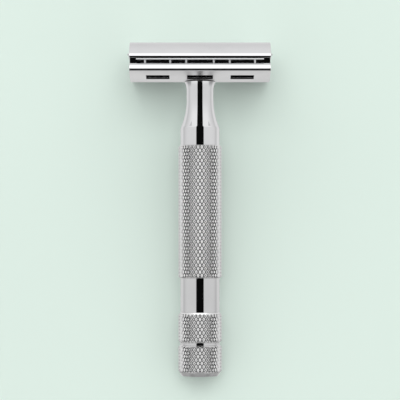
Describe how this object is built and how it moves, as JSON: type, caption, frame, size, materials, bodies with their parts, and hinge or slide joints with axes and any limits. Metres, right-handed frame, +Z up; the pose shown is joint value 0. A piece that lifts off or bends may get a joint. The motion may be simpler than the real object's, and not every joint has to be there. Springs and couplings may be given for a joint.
{
  "type": "safety razor",
  "caption": "Double-edge safety razor lying on its side: domed cap, bent blade and slotted base plate held by a screw-on handle with a waisted neck, knurled grip and ringed knob.",
  "frame": {"origin": "on the table, under the middle of the razor's bounding box, with the razor lying on one guard bar and on its knob", "axes": "+Y towards the head, +X along the blade, +Z up; the handle's axis rises 4.23 degrees towards the head"},
  "size_m": [0.0426, 0.0988, 0.0257],
  "materials": {
    "polished_chrome": "mirror polished chrome plate",
    "knurled_chrome": "chrome plate over diamond knurling",
    "stud_steel": "bright turned steel",
    "blade_steel": "bright rolled steel with ground edges",
    "insert_brass": "turned brass",
    "core_steel": "turned steel"
  },
  "bodies": {
    "cap": {"cap_shell": "polished_chrome", "cap_stud": "stud_steel", "guide_post_left": "stud_steel", "guide_post_right": "stud_steel"},
    "blade": {"blade": "blade_steel"},
    "base_plate": {"base_plate": "polished_chrome"},
    "handle": {"neck": "polished_chrome", "thread_insert": "insert_brass", "core_rod": "core_steel", "grip_sleeve": "knurled_chrome", "barrel": "polished_chrome", "knob_ring": "knurled_chrome", "knob_spacer": "polished_chrome", "knob_end": "knurled_chrome"}
  },
  "joints": [
    {"name": "blade_slide", "type": "slide", "parent": "cap", "child": "blade", "axis": [0, -0.9973, -0.0737], "range_m": [0, 0.00321]},
    {"name": "plate_slide", "type": "slide", "parent": "cap", "child": "base_plate", "axis": [0, -0.9973, -0.0737], "range_m": [0, 0.0064]},
    {"name": "handle_turn", "type": "hinge", "parent": "base_plate", "child": "handle", "pos_m": [0, 0.03777, 0.01268], "axis": [0, -0.9973, -0.0737], "range_deg": [0, 2881]}
  ],
  "couplings": [
    {"joint": "handle_turn", "follows": "plate_slide", "rad_per_m": 7854},
    {"joint": "blade_slide", "follows": "plate_slide", "ratio": 0.5}
  ]
}
